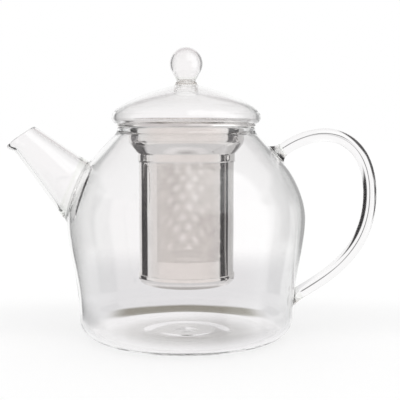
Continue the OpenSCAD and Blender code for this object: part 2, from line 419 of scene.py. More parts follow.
# ---- the pot ----
# How far each curve of the side is drawn on before it turns
LOWER_PULL = 19
UPPER_PULL = 12
SHOULDER_PULL = 0.8 * SHOULDER_STEP
NECK_PULL = 4.95
NECK_OUT = 1.1
NECK_DROP = 4.2
RIM_DROP = 3.0
RIM_PULL = 1.2
RIM_ROUND = 0.42 * MOUTH_RIM_T
BORE_DROP = 4.4
BORE_PULL = 1.6
FLOOR_EDGE = 4
FLOOR_PULL = 9
CORNER_PULL = 3.6
CORNER_TOP_Z = 1.75 * BOTTOM_T
FLOOR_FOLLOWS = 0.7
FINE = 200
COARSE = 30
FILLET_STEPS = 6
PAD_FILLET_STEPS = 4
PAD_STEPS = 10
# Height or width of a row of faces
SIDE_ROW = 1.6
MOUTH_ROW = 0.5
CORNER_ROW = 1.0
FLOOR_ROW = 0.8

foot_r = POT_R - FOOT_STEP
foot_in_r = foot_r - FOOT_CORNER_W
floor_flat_r = foot_in_r - FLOOR_EDGE
neck = vec(RIM_R + NECK_OUT, MOUTH_Z - NECK_DROP)
shoulder = vec(POT_R - SHOULDER_STEP, MOUTH_Z - SHOULDER_DROP)
slope = vec(-cos(radians(SHOULDER_ANGLE)), sin(radians(SHOULDER_ANGLE)))
belly = (POT_R, POT_WIDE_Z)
side_out = (arc((foot_in_r, FOOT_CORNER_H), FOOT_CORNER_W, -90, 0, FINE, FOOT_CORNER_H)
            + curve((foot_r, FOOT_CORNER_H), (foot_r, POT_WIDE_Z / 2),
                    (POT_R, POT_WIDE_Z - LOWER_PULL), belly, FINE)
            + curve(belly, (POT_R, POT_WIDE_Z + UPPER_PULL), shoulder - SHOULDER_PULL * slope,
                    shoulder, FINE)
            + curve(shoulder, shoulder + SHOULDER_PULL * slope, neck - NECK_PULL * slope, neck,
                    FINE))
rim_fall = curve(neck, neck + RIM_PULL * slope, (RIM_R, MOUTH_Z - RIM_DROP),
                 (RIM_R, MOUTH_Z - RIM_ROUND), COARSE)
mouth = (arc((RIM_R - RIM_ROUND, MOUTH_Z - RIM_ROUND), RIM_ROUND, 0, 90, 10)
         + arc((MOUTH_R + RIM_ROUND, MOUTH_Z - RIM_ROUND), RIM_ROUND, 90, 180, 10))
side_in = [p for p in beside(side_out, SIDE_T) if p[1] > CORNER_TOP_Z]
neck_in = [side_in[-1]] + curve(side_in[-1], side_in[-1] + BORE_PULL * slope,
                                (MOUTH_R, MOUTH_Z - BORE_DROP), (MOUTH_R, MOUTH_Z - RIM_ROUND),
                                COARSE)
heading = side_in[4] - side_in[0]
heading /= np.linalg.norm(heading)
floor_corner = curve((floor_flat_r, BOTTOM_T), (floor_flat_r + FLOOR_PULL, BOTTOM_T),
                     side_in[0] - CORNER_PULL * heading, side_in[0], 2 * COARSE)


def underside(r):
    """Height of the foot's underside: flat, and pushed up in the middle."""
    return PUSH_UP * fade(r, PUSH_IN_R, PUSH_OUT_R)


def floor_top(r):
    """Height of the inner floor, which follows the push-up and has a pip in the middle."""
    return BOTTOM_T + FLOOR_FOLLOWS * underside(r) + PIP_H * fade(r, 0, PIP_R)


under_rows = [vec(r, underside(r)) for r in np.arange(0, foot_in_r, CORNER_ROW)]
out_rows = evenly(side_out, SIDE_ROW)
rim_rows = evenly(rim_fall, MOUTH_ROW)
in_rows = evenly(side_in, SIDE_ROW)
neck_rows = evenly(neck_in, MOUTH_ROW)
corner_rows = evenly(floor_corner, CORNER_ROW)
floor_rows = [vec(r, floor_top(r)) for r in np.arange(0, floor_flat_r, FLOOR_ROW)]
out_wall = Wall(side_out)
in_wall = Wall(side_in)

# ---- the spout, by the angle round its axis (0 is above) and the distance along it ----
TAPER = (SPOUT_ROOT_R - SPOUT_TIP_R) / SPOUT_L
BEAD_RING_R = SPOUT_ROOT_R + 0.3
BEAD_HALF = 2.6
BEAD_RISE = 0.4
BEAD_SPREAD = 2.4
LIP_L = 6.5
# The lip curls where the downward share of the angle is between these
LIP_ENDS = (-0.1, 0.9)
LIP_THINS = 0.93
# Where the tube leaves the fillets at its root, outside and in the bore
ROOT_CLEAR = 0.9
BORE_CLEAR = 1.2
ROOT_FILLET = 1.8
BORE_FILLET = 1.1
PAD_FILLET = 0.9
# How far before and behind an axis's start it can pass through the wall
SPOUT_REACH = (-30, 25)
PAD_REACH = (-20, 20)

spout_root = vec(-out_wall.radius(SPOUT_ROOT_Z), 0, SPOUT_ROOT_Z)
tilt = radians(SPOUT_ANGLE)
spout_axis = Axis(spout_root, vec(-cos(tilt), 0, sin(tilt)), vec(sin(tilt), 0, cos(tilt)))
bead_tilt = radians(BEAD_ANGLE)
bead_side = vec(sin(bead_tilt), 0, cos(bead_tilt))


def cone_r(t):
    """Outside radius of the tube."""
    return SPOUT_ROOT_R - TAPER * t


def bore_r(t):
    return cone_r(t) - SPOUT_T


def bead_at(phi):
    """How far along the spout's axis the bead's middle lies."""
    rel = BEAD_RING_R * (cos(phi) * bead_side + sin(phi) * spout_axis.y)
    return float(rel @ spout_axis.z)


def bead_rise(t, phi):
    """How far the glass of the bead swells out of the tube."""
    return BEAD_RISE * np.exp(-((t - bead_at(phi)) / BEAD_SPREAD) ** 2)


def tip_at(phi):
    """How far along the axis the leaning cut lies, at the tube's own radius."""
    return SPOUT_L - SPOUT_TIP_R * cos(phi) * tan(radians(TIP_LEAN))


def flare(t, phi):
    """The outward curl of the lip, only round the lower side of the tip."""
    low_side = smooth(-cos(phi), *LIP_ENDS)
    return LIP_OUT * low_side * smooth(t, tip_at(phi) - LIP_L, tip_at(phi)) ** 2


def tube_out(phi, t):
    """A point on the outside of the tube."""
    return spout_axis.point(phi, cone_r(t) + bead_rise(t, phi) + flare(t, phi), t)


def tube_in(phi, t):
    """A point on the tube's bore."""
    return spout_axis.point(phi, bore_r(t) + flare(t, phi) * LIP_THINS, t)


spout_end = Fused(out_wall, spout_axis, cone_r, ROOT_FILLET, SPOUT_REACH)
bore_end = Fused(in_wall, spout_axis, bore_r, BORE_FILLET, SPOUT_REACH)


def block_for(end, profile, middle, rows=None, cols=None):
    """The block round a fused end, with a margin of some cells or of a stated size."""
    around = [end.foot(phi) for phi in turns(48)]
    heights = [p[1] for p in profile]
    low = min(p[2] for p in around)
    high = max(p[2] for p in around)
    first = int(np.searchsorted(heights, low)) - 3
    last = int(np.searchsorted(heights, high)) + 2
    if rows:
        first = (first + last - rows) // 2
    wide = max(abs(p[1]) / hypot(p[0], p[1]) for p in around)
    half = cols or ceil(wide * 1.05 * AROUND / TURN) + 3
    return Block(middle, half, first, first + rows if rows else last)


def build_pot(thin, thick):
    """The vessel, the spout with its bead, and the handle, all fused into one glass."""
    pad_rows = 12
    pad_half_cols = 6
    spout_col = AROUND // 2
    skin = Skin()
    spout_block = block_for(spout_end, out_rows, spout_col)
    rows = spout_block.last - spout_block.first
    bore_block = block_for(bore_end, in_rows, spout_col, rows, spout_block.half)
    top = HandleEnd(HANDLE_TOP_Z, TOP_ANGLE, TOP_PAD_D, 1)
    low = HandleEnd(HANDLE_LOW_Z, LOW_ANGLE, LOW_PAD_D, -1)
    pad_blocks = [block_for(end, out_rows, 0, pad_rows, pad_half_cols) for end in (top, low)]
    skin.lathe(under_rows + out_rows + rim_rows + mouth[1:], "pot_wall",
               [block.raised(len(under_rows)) for block in (spout_block, *pad_blocks)])
    skin.lathe([mouth[-1]] + neck_rows[::-1], "pot_wall")
    skin.lathe(in_rows, "pot_wall", [bore_block])
    skin.lathe(floor_rows + corner_rows, "pot_wall")
    rings, angles = spout_end.join(spout_block, out_rows, FILLET_STEPS)
    skin.loft(rings, "pot_wall")
    bore_rings, bore_angles = bore_end.join(bore_block, in_rows, FILLET_STEPS)
    skin.loft(bore_rings, "pot_wall")
    build_spout(skin, angles, bore_angles)
    ends = []
    pads = ("handle_top_pad_glass", "handle_low_pad_glass")
    for end, block, pad in zip((top, low), pad_blocks, pads):
        rings, angles = end.join(block, out_rows, PAD_FILLET_STEPS)
        skin.loft(rings, "pot_wall")
        shares = np.linspace(0, 1, PAD_STEPS + 1)
        skin.loft([[end.pad_point(phi, t) for phi in angles] for t in shares], pad)
        ends.append(angles)
    skin.loft(rod_rings(top, low, *ends), "handle_rod")
    skin.pieces("pot", "clear_glass", {
        "pot_wall": ("glass_body", thin),
        "spout_tube": ("spout", thin),
        "spout_root_bead": ("spout_bead", thick),
        "handle_rod": ("handle", thin),
        "handle_top_pad_glass": ("handle_top_pad", thick),
        "handle_low_pad_glass": ("handle_low_pad", thick)})


def build_spout(skin, angles, bore_angles):
    """The tube from its foot on the pot, over the tip, and back down the bore."""
    even = even_angles(angles)

    def fillet(phi, s):
        return bend(spout_end.foot(phi), spout_end.meet(phi), bead(phi, 0), s)

    def bead(phi, s):
        start = max(bead_at(phi) - BEAD_HALF, spout_end.along(phi) + ROOT_CLEAR)
        return tube_out(phi, between(start, bead_at(phi) + BEAD_HALF, s))

    def tube(phi, s):
        return tube_out(phi, between(bead_at(phi) + BEAD_HALF, tip_at(phi), s))

    def tip(phi, s):
        outer = tube_out(phi, tip_at(phi))
        inner = tube_in(phi, tip_at(phi))
        half = (outer - inner) / 2
        rise = np.linalg.norm(half) * spout_axis.z
        return (outer + inner) / 2 + half * cos(pi * s) + rise * sin(pi * s)

    def bore(phi, s):
        return tube_in(phi, between(tip_at(phi), bore_end.along(phi) + BORE_CLEAR, s))

    def bore_edge(phi, s):
        return bend(bore(phi, 1), bore_end.meet(phi), bore_end.foot(phi), s)

    # Each stage's surface, its bands, and the angles that it starts and ends with
    stages = ((fillet, 6, angles, angles), (bead, 14, angles, angles), (tube, 33, angles, even),
              (tip, 8, even, even), (bore, 40, even, bore_angles),
              (bore_edge, 5, bore_angles, bore_angles))
    rings = [[fillet(phi, 0) for phi in angles]]
    tags = []
    for shape, bands, first, last in stages:
        for s in np.linspace(0, 1, bands + 1)[1:]:
            rings.append([shape(between(a, b, s), s) for a, b in zip(first, last)])
            tags.append("spout_root_bead" if shape in (fillet, bead) else "spout_tube")
    skin.loft(rings, tags)


# ---- the handle ----
# The pad's waist: how much wider than the rod, and how far out along it
WAIST_OUT = 0.15
WAIST_AT = 0.62
# How far the rod runs on from each end, and up and down from its widest place
TOP_RUN = 31
UP_RUN = 36
DOWN_RUN = 33
LOW_RUN = 24
ROD_ROW = 1.7


class HandleEnd(Fused):
    """One fused end of the handle: its pad on the pot and the start of its rod."""

    def __init__(self, z, angle, pad_d, way):
        a = radians(angle)
        start = vec(out_wall.radius(z), 0, z)
        self.dir = vec(cos(a), 0, sin(a))
        self.rod_start = start + PAD_L * self.dir
        h = way * self.dir
        axis = Axis(start, self.dir, vec(-h[2], 0, h[0]))
        super().__init__(out_wall, axis, lambda t: pad_d / 2, PAD_FILLET, PAD_REACH)

    def pad_point(self, phi, t):
        """From the footprint at t = 0 to the rod's first ring at t = 1."""
        waist = self.axis.point(phi, ROD_D / 2 + WAIST_OUT, WAIST_AT * PAD_L)
        rod = self.axis.point(phi, ROD_D / 2, PAD_L)
        return cubic(self.foot(phi), self.meet(phi), waist, rod, t)


def rod_rings(top, low, top_angles, low_angles):
    """Rings of the solid rod from the upper pad round the loop to the lower one."""
    far = vec(POT_R + HANDLE_REACH, 0, HANDLE_WIDE_Z)
    up = vec(0, 0, 1)
    start = top.rod_start
    end = low.rod_start
    path = [start] + curve(start, start + TOP_RUN * top.dir, far + UP_RUN * up, far, 300)
    path += curve(far, far - DOWN_RUN * up, end + LOW_RUN * low.dir, end, 300)
    path = evenly(path, ROD_ROW)
    heads = np.gradient(path, axis=0)
    heads[0] = top.dir
    heads[-1] = -low.dir
    heads = [h / np.linalg.norm(h) for h in heads]
    n = len(path) - 1
    rings = []
    for k, (p, h) in enumerate(zip(path, heads)):
        ring = Axis(p, h, vec(-h[2], 0, h[0]))
        angles = between(np.array(top_angles), np.array(low_angles), smooth(k / n))
        rings.append([ring.point(a, ROD_D / 2, 0) for a in angles])
    return rings


# ---- the lid ----
DOME_PULL = 0.4
DOME_PULL_DROP = 2.2
DOME_SIDE_PULL = 0.39 * DOME_H
DOME_ROW = 1.2
SEAT_H = 1.9
SEAT_ROUND = 1.7
COLLAR_ROUND = 0.9
NECK_FOOT_W = 1.5
CREASE_IN = 0.3
CREASE_H = 1.1
# The ball's foot runs on as a short cone from this angle on the ball down to the crease
CONE_ANGLE = -38
HOLLOW_FOOT_H = 0.4
HOLLOW_FOOT_ROUND = 0.8

collar_r = CUP_R - SHEET_T - COLLAR_PLAY
collar_in = collar_r - COLLAR_T
rim_in_r = LID_R - DOME_FOOT_T
seat_top = LID_Z + SEAT_H
neck_foot_r = NECK_R + NECK_FOOT_W
ball_seat_z = DOME_TOP + NECK_H
ball_z = ball_seat_z + sqrt(BALL_R ** 2 - (NECK_R - 0.1) ** 2)
crease = vec(NECK_R - CREASE_IN, DOME_TOP + CREASE_H)


def dome_line(r, top):
    """A side of the dome, from its top to the rim."""
    return curve((0, top), (DOME_PULL * r, top - DOME_PULL_DROP), (r, LID_RIM_Z + DOME_SIDE_PULL),
                 (r, LID_RIM_Z), 300)


def ball_line(wall):
    """The ball's surface, or its hollow's, from the cone's end to the top."""
    line = arc((0, ball_z), BALL_R - wall, CONE_ANGLE, 90, 44)
    line[-1][0] = 0
    return line


def neck_line(foot, ball_seat):
    """The neck's flared foot, its crease, and the start of the cone above it."""
    waist = (NECK_R + 0.5, DOME_TOP + 0.2)
    return (curve(foot, (NECK_R + 0.9, foot[1] + 0.2), (NECK_R + 0.6, DOME_TOP - 0.3), waist, 8)
            + curve(waist, (NECK_R + 0.45, DOME_TOP + 0.7), (NECK_R, DOME_TOP + 0.8), crease, 8)
            + straight(crease, ball_seat, 7)[1:])


def rim_line():
    """Round the rim, in along its seat, round the collar, and up to the inside of the dome."""
    r = COLLAR_ROUND
    low_z = LID_Z - COLLAR_H
    foot = (collar_r + r, LID_Z - 0.02)
    rim = arc((LID_R - LID_RIM_W, LID_RIM_Z), LID_RIM_W, 0, -84, 14, LID_RIM_H)
    seat = curve(rim[-1], (LID_R - LID_RIM_W - 1.5, LID_Z), (collar_r + 1.5, LID_Z), foot, 12)
    collar = (curve(foot, (collar_r + 0.2, LID_Z - 0.1), (collar_r, LID_Z - 0.6),
                    (collar_r, LID_Z - 1.4), 6)
              + straight((collar_r, LID_Z - 2), (collar_r, low_z + 1), 5)
              + arc((collar_r - r, low_z + r), r, 0, -90, 5)
              + arc((collar_in + r, low_z + r), r, -90, -180, 5)
              + straight((collar_in, low_z + 2), (collar_in, LID_Z), 6))
    inside = (curve((collar_in, LID_Z), (collar_in, seat_top), (collar_in, seat_top),
                    (collar_in + 2.4, seat_top), 8)
              + straight((collar_in + 3.6, seat_top), (rim_in_r - SEAT_ROUND, seat_top), 3)
              + arc((rim_in_r - SEAT_ROUND, LID_RIM_Z), SEAT_ROUND, -90, 0, 10,
                    LID_RIM_Z - seat_top)[1:])
    return rim + seat + collar + inside


def build_lid(thin, thick, rim):
    """The dome, its thick rim with the collar, the neck and the hollow ball, as one glass."""
    outer = dome_line(LID_R, DOME_TOP)
    inner = dome_line(rim_in_r, DOME_TOP - DOME_T)
    foot_z = float(np.interp(neck_foot_r, [p[0] for p in outer], [p[1] for p in outer]))
    foot = vec(neck_foot_r, foot_z)
    ball = ball_line(0)
    share = (ball_seat_z - crease[1]) / (ball[0][1] - crease[1])
    ball_seat = crease + share * (ball[0] - crease)
    neck_rise = neck_line(foot, ball_seat)
    dome_rows = evenly([p for p in outer[::-1] if p[0] >= neck_foot_r], DOME_ROW)
    skin = Skin()
    skin.lathe([foot] + neck_rise, "lid_neck")
    skin.lathe([neck_rise[-1]] + straight(ball_seat, ball[0], 7)[1:-1] + ball, "lid_ball")
    skin.lathe(dome_rows[:-1] + [foot], "lid_dome_glass")
    skin.lathe(rim_line(), "lid_rim_glass")
    skin.lathe(evenly([vec(0, DOME_TOP - DOME_T)] + inner, DOME_ROW), "lid_dome_glass")
    hollow = ball_line(BALL_WALL)
    low = crease + [-BALL_WALL, HOLLOW_FOOT_H]
    skin.cavity_from = len(skin.faces)
    skin.lathe([vec(0, low[1]), low - [HOLLOW_FOOT_ROUND, 0]]
               + [between(low, hollow[0], s) for s in np.linspace(0.1, 0.9, 7)] + hollow,
               "lid_ball")
    skin.pieces("lid", "clear_glass", {
        "lid_dome_glass": ("lid_dome", thin),
        "lid_rim_glass": ("lid_rim", rim),
        "lid_neck": ("knob_neck", thick),
        "lid_ball": ("knob_ball", rim)})


# ---- the infuser ----
CUP_BEND = 2
CUP_EASE = 0.8
FLANGE_DIP = 0.25
FLANGE_IN = 1.6
# The pressed step in the pan's bottom
PAN_STEP = 0.35
PAN_STEP_IN_R = 18.5
PAN_STEP_OUT_R = 20.5
WINDOW_LOW_Z = 48.8
WINDOW_HIGH_Z = 105.9
# Azimuths on the rolled sheet, in degrees from -Y towards +X
WINDOW_FROM = -37
WINDOW_TO = 43
SEAM_AT = 44.6
PITCH = 0.9
ROW_PITCH = 0.72
HOLE_R = 0.25
HOLE_SIDES = 8
# Edges sharper than this, in degrees, stay hard
HOLE_EDGE = 35
SHEET_EDGE = 30
# The sheet dips by this much beside the lap's two edges, over this many degrees
LAP_DIP = 0.3
LAP_DIP_W = 14
SPOTS = 7
SPOT_SIDES = 16
# Radius and height of a spot weld's rings, and the height of its middle
SPOT_RINGS = ((0.75, 0.0), (0.6, 0.12), (0.35, 0.2))
SPOT_TOP = 0.14
SPOT_IN = 0.9


def turned_piece(name, profile, solid, material):
    """A closed turned piece of polished sheet metal."""
    skin = Skin()
    skin.lathe(profile, name)
    skin.pieces("infuser", "polished_steel", {name: (solid, material)})


def build_collar(material):
    """The pressed funnel: sleeve, cone, cup and hemmed flange."""
    hem = HEM_H / 2
    hem_in = FLANGE_R - 2 * HEM_H

    def funnel(t, lift):
        """The sleeve, the cone and the cup's bend, on the outside (t = 0) or the inside."""
        r = SLEEVE_R - t
        c = CUP_R - t
        cone = curve((r, SLEEVE_TOP_Z + lift), (c - CUP_BEND / 2, CUP_LOW_Z - CUP_BEND + lift),
                     (c, CUP_LOW_Z - CUP_BEND / 5 + lift), (c, CUP_LOW_Z + CUP_BEND), 24)
        return straight((r, SLEEVE_LOW_Z), (r, SLEEVE_TOP_Z + lift), 6) + cone

    dip = (CUP_R + FLANGE_IN, MOUTH_Z + HEM_H - FLANGE_DIP)
    cup = (curve((CUP_R, CUP_LOW_Z + CUP_BEND), (CUP_R, CUP_LOW_Z + 2 * CUP_BEND),
                 (CUP_R, MOUTH_Z - 2), (CUP_R, MOUTH_Z - CUP_EASE), 6)
           + arc((CUP_R + CUP_EASE, MOUTH_Z - CUP_EASE), CUP_EASE, 180, 90, 6)[1:])
    flange = ([vec(hem_in, MOUTH_Z)]
              + arc((FLANGE_R - hem, MOUTH_Z + hem), hem, -90, 90, 16)
              + curve((FLANGE_R - hem, MOUTH_Z + HEM_H), (hem_in, MOUTH_Z + HEM_H),
                      (hem_in, dip[1]), dip, 8)
              + curve(dip, (CUP_R, dip[1]), (CUP_R - SHEET_T, dip[1] - 0.4),
                      (CUP_R - SHEET_T, dip[1] - 2), 10))
    profile = funnel(0, 0) + cup + flange + funnel(SHEET_T, SHEET_T / 2)[::-1]
    profile.append(profile[0])
    turned_piece("steel_collar", profile, "infuser_collar", material)


def build_pan(material):
    """The pressed pan that closes the infuser below."""
    corner = (SLEEVE_R - PAN_CORNER, PAN_Z + PAN_CORNER)
    inner = PAN_CORNER - SHEET_T
    flat_out = [vec(r, PAN_Z + PAN_STEP * smooth(-r, -PAN_STEP_OUT_R, -PAN_STEP_IN_R))
                for r in np.linspace(0, corner[0] - 0.5, 40)]
    flat_in = [p + [0, SHEET_T] for p in flat_out[::-1]]
    edge = [(SLEEVE_R, PAN_Z + PAN_H - 0.3), (SLEEVE_R - 0.3, PAN_Z + PAN_H),
            (SLEEVE_R - SHEET_T, PAN_Z + PAN_H)]
    profile = (flat_out + arc(corner, PAN_CORNER, -90, 0, 16) + edge
               + arc(corner, inner, 0, -90, 16) + flat_in)
    turned_piece("steel_pan", profile, "infuser_pan", material)


def sheet_r(azimuth):
    """Outside radius of the rolled sheet: it dips just outside the two edges of the lap."""
    off = min(abs((azimuth - SEAM_AT) % 360), abs((WINDOW_FROM - azimuth) % 360))
    return WALL_R - LAP_DIP * (1 - smooth(off, 0, LAP_DIP_W))


def on_sheet(azimuth, z, depth=0.0, radius=WALL_R):
    """A point of the strainer wall, depth inside its outer face."""
    a = radians(azimuth)
    r = radius - depth
    return (r * sin(a) * MM, -r * cos(a) * MM, z * MM)


def sheet_piece(name, verts, faces, solid, material, hard_edge=None):
    """A piece of the strainer's wall."""
    mesh = bpy.data.meshes.new(name)
    mesh.from_pydata(verts, [], faces)
    mesh.shade_smooth()
    if hard_edge:
        mesh.set_sharp_from_angle(angle=radians(hard_edge))
    add_piece(name, mesh, "infuser", "perforated_steel", solid, material)


def perforated_window(name, left, material):
    """A window of staggered round holes, drilled through the sheet's thickness."""
    wide = WINDOW_TO - WINDOW_FROM
    tall = WINDOW_HIGH_Z - WINDOW_LOW_Z
    cols = 2 * round(radians(wide) * WALL_R / PITCH)
    rows = round(tall / ROW_PITCH)
    step_a = wide / cols
    step_z = tall / rows
    hole_a = degrees(HOLE_R / WALL_R)
    verts = []
    faces = []
    known = {}

    def vert(a, z, depth):
        key = (round(a, 5), round(z, 5), depth)
        if key not in known:
            known[key] = len(verts)
            verts.append(on_sheet(left + a, z, depth))
        return known[key]

    def both_faces(corners):
        """The same face on the outside and on the inside of the sheet."""
        faces.append([vert(*p, 0) for p in corners])
        faces.append([vert(*p, WALL_T) for p in corners[::-1]])

    for j in range(rows):
        z0 = WINDOW_LOW_Z + j * step_z
        z = z0 + step_z / 2
        for c in range(1 - j % 2, cols + 1, 2):
            near = max(c - 1, 0) * step_a
            far = min(c + 1, cols) * step_a
            a = c * step_a
            if c in (0, cols):
                both_faces([(near, z0), (far, z0), (far, z0 + step_z), (near, z0 + step_z)])
                continue
            outline = [(far, z), (far, z0 + step_z), (a, z0 + step_z), (near, z0 + step_z),
                       (near, z), (near, z0), (a, z0), (far, z0)]
            hole = [(a + hole_a * cos(t), z + HOLE_R * sin(t))
                    for t in turns(HOLE_SIDES)]
            for k in range(HOLE_SIDES):
                m = (k + 1) % HOLE_SIDES
                both_faces([outline[k], outline[m], hole[m], hole[k]])
                faces.append([vert(*hole[k], 0), vert(*hole[m], 0), vert(*hole[m], WALL_T),
                              vert(*hole[k], WALL_T)])
    sheet_piece(name, verts, faces, "strainer_wall", material, HOLE_EDGE)


def build_sheet(material):
    """The plain parts of the rolled wall: the margins, and the bands above and below."""
    low_z = PAN_Z + PAN_CORNER + 0.2
    front_steps = 40
    side_steps = round((WINDOW_FROM + 180 - SEAM_AT) / 1.5)
    verts = []
    faces = []

    def strip(from_a, to_a, z0, z1, steps, dips=False):
        """A closed strip of the sheet; one that dips follows the edges of the lap."""
        start = len(verts)
        middle = (from_a + to_a) / 2
        for k in range(steps + 1):
            a = between(from_a, to_a, k / steps)
            # An end takes the radius just inside it, on its own side of the lap's edge
            at = between(a, middle, 0.002) if k in (0, steps) else a
            r = sheet_r(at) if dips else WALL_R
            for z, depth in ((z0, 0), (z1, 0), (z1, WALL_T), (z0, WALL_T)):
                verts.append(on_sheet(a, z, depth, r))
        for k in range(steps):
            for m in range(4):
                p = start + 4 * k + m
                q = start + 4 * k + (m + 1) % 4
                faces.append((p, p + 4, q + 4, q))
        for end in (start, start + 4 * steps):
            faces.append(tuple(range(end, end + 4)))

    for turn in (0, 180):
        left = WINDOW_FROM + turn
        seam = SEAM_AT + turn
        strip(left, seam, low_z, WINDOW_LOW_Z, front_steps)
        strip(left, seam, WINDOW_HIGH_Z, SLEEVE_TOP_Z, front_steps)
        strip(WINDOW_TO + turn, seam, WINDOW_LOW_Z, WINDOW_HIGH_Z, front_steps)
        strip(seam, left + 180, low_z, SLEEVE_TOP_Z, side_steps, dips=True)
    sheet_piece("strainer_sheet", verts, faces, "strainer_wall", material, SHEET_EDGE)


def build_welds(material):
    """Small round spot welds down the lap seam."""
    verts = []
    faces = []
    for z in np.linspace(WINDOW_LOW_Z + 3, WINDOW_HIGH_Z - 2.5, SPOTS):
        for turn in (0, 180):
            start = len(verts)
            middle = SEAM_AT - SPOT_IN + turn
            for r, rise in SPOT_RINGS:
                for t in turns(SPOT_SIDES):
                    verts.append(on_sheet(middle + degrees(r * cos(t) / WALL_R), z + r * sin(t),
                                          -rise))
            top = len(verts)
            verts.append(on_sheet(middle, z, -SPOT_TOP))
            for p in range(start, top, SPOT_SIDES):
                q = p + SPOT_SIDES
                for k in range(SPOT_SIDES):
                    m = (k + 1) % SPOT_SIDES
                    faces.append((p + k, p + m, *((q,) if q == top else (q + m, q + k))))
    sheet_piece("spot_welds", verts, faces, None, material)


# ---- materials ----
GLASS_IOR = 1.474
# The faint waves of blown glass: how many to the metre, and how deep
WAVE_SCALE = 35.0
WAVE_STRENGTH = 0.05
WAVE_DEPTH = 0.004
HAZE_SCALE = 90.0
GLASS_TINT = (0.965, 0.958, 0.962, 1)
# The marks that turning and brushing leave on the steel
TURNING_SCALE = 2600.0
TURNING_DEPTH = 0.00004
MARK_LENGTH = 1.5
WEAR_SCALE = 60.0


class Nodes:
    """Short calls for building a node tree."""

    def __init__(self, owner):
        owner.use_nodes = True
        self.tree = owner.node_tree
        self.tree.nodes.clear()

    def feed(self, socket, value):
        """Link a socket to it, or set it where it is a plain value."""
        if isinstance(value, bpy.types.NodeSocket):
            self.tree.links.new(value, socket)
        else:
            socket.default_value = value

    def add(self, kind, *values, **settings):
        """A new node; values go to its first sockets, settings to what bears their name."""
        node = self.tree.nodes.new(kind)
        for name, value in settings.items():
            if name in node.inputs:
                self.feed(node.inputs[name], value)
            else:
                setattr(node, name, value)
        for socket, value in zip(node.inputs, values):
            self.feed(socket, value)
        return node

    def math(self, operation, *values):
        return self.add("ShaderNodeMath", *values, operation=operation).outputs[0]

    def times(self, first, *others):
        for other in others:
            first = self.math("MULTIPLY", first, other)
        return first

    def most(self, first, *others):
        for other in others:
            first = self.math("MAXIMUM", first, other)
        return first

    def blend(self, factor, a, b):
        """The plain value that lies between a and b."""
        return self.math("ADD", a, self.times(factor, self.math("SUBTRACT", b, a)))

    def fit(self, value, low, high, to_low=0.0, to_high=1.0, kind="SMOOTHSTEP"):
        """The value carried from the range low to high over to another, and kept within it."""
        return self.add("ShaderNodeMapRange", value, low, high, to_low, to_high,
                        interpolation_type=kind).outputs[0]

    def past(self, count, at):
        """1 for a ray whose count has gone past at, and 0 for any other."""
        return self.fit(count, at - 0.1, at + 0.1, kind="LINEAR")

    def within(self, value, low, high, soft):
        """1 between low and high, with soft ends."""
        return self.times(self.fit(value, low - soft, low + soft),
                          self.fit(value, high - soft, high + soft, 1.0, 0.0))

    def mix(self, factor, a, b):
        """The colour that lies between a and b."""
        node = self.add("ShaderNodeMix", data_type="RGBA")
        self.feed(node.inputs[0], factor)
        self.feed(node.inputs[6], a)
        self.feed(node.inputs[7], b)
        return node.outputs[2]

    def parts(self, vector):
        return self.add("ShaderNodeSeparateXYZ", vector).outputs

    def distance(self, a, b):
        """The length of the level vector with these two parts."""
        return self.math("SQRT", self.math("ADD", self.times(a, a), self.times(b, b)))

    def noise(self, vector, scale, detail):
        node = self.add("ShaderNodeTexNoise", Vector=vector, Scale=scale, Detail=detail)
        return node.outputs["Fac"]

    def bump(self, height, strength, distance):
        node = self.add("ShaderNodeBump", Height=height, Strength=strength, Distance=distance)
        return node.outputs["Normal"]

    def place(self):
        return self.add("ShaderNodeTexCoord").outputs["Object"]


def new_material(name):
    """A material with a Principled shader, its nodes and the shader."""
    material = bpy.data.materials.new(name)
    n = Nodes(material)
    shader = n.add("ShaderNodeBsdfPrincipled")
    n.add("ShaderNodeOutputMaterial", Surface=shader.outputs[0])
    return material, n, shader


def glass_material(name, middle, edge, sharp=1.0):
    """Clear glass whose colour greys towards its edges, where one looks along the wall: partly the
    tint of the longer path through the glass, and partly painted shade for the dark edges that
    glass shows.
    """
    material, n, shader = new_material(name)
    shader.inputs["IOR"].default_value = GLASS_IOR
    shader.inputs["Transmission Weight"].default_value = 1.0
    place = n.place()
    waves = n.noise(place, WAVE_SCALE, 1.0)
    facing = n.add("ShaderNodeLayerWeight", Blend=0.35).outputs["Facing"]
    # Painted shade: towards the edges the colour goes over to the edge colour
    painted_edge_shade = n.math("POWER", facing, sharp)
    clear = n.mix(painted_edge_shade, (*middle, 1), (*edge, 1))
    tint = n.mix(n.fit(waves, 0.3, 0.7, 0.0, 0.25), clear, GLASS_TINT)
    haze = n.noise(place, HAZE_SCALE, 3.0)
    n.feed(shader.inputs["Base Color"], tint)
    n.feed(shader.inputs["Roughness"], n.fit(haze, 0.55, 0.85, 0.0, 0.02))
    n.feed(shader.inputs["Normal"], n.bump(waves, WAVE_STRENGTH, WAVE_DEPTH))
    return material


def turned_place(n, along):
    """Coordinates that are fine across the turning marks and long round the axis."""
    x, y, z = n.parts(n.place())
    radius = n.distance(x, y)
    angle = n.math("ARCTAN2", y, x)
    return n.add("ShaderNodeCombineXYZ", n.times(radius, along), n.times(z, along),
                 n.times(angle, MARK_LENGTH)).outputs[0]


def steel_material(name, colour, worn, rough, marks):
    """Bright steel with fine turning marks, a little duller where it is worn."""
    material, n, shader = new_material(name)
    shader.inputs["Metallic"].default_value = 1.0
    turning = n.noise(turned_place(n, TURNING_SCALE), 1.0, 2.0)
    wear = n.noise(n.place(), WEAR_SCALE, 3.0)
    n.feed(shader.inputs["Base Color"], n.mix(n.fit(wear, 0.3, 0.75), colour, worn))
    n.feed(shader.inputs["Roughness"], n.fit(turning, 0.3, 0.7, *rough))
    n.feed(shader.inputs["Normal"], n.bump(turning, marks, TURNING_DEPTH))
    return material


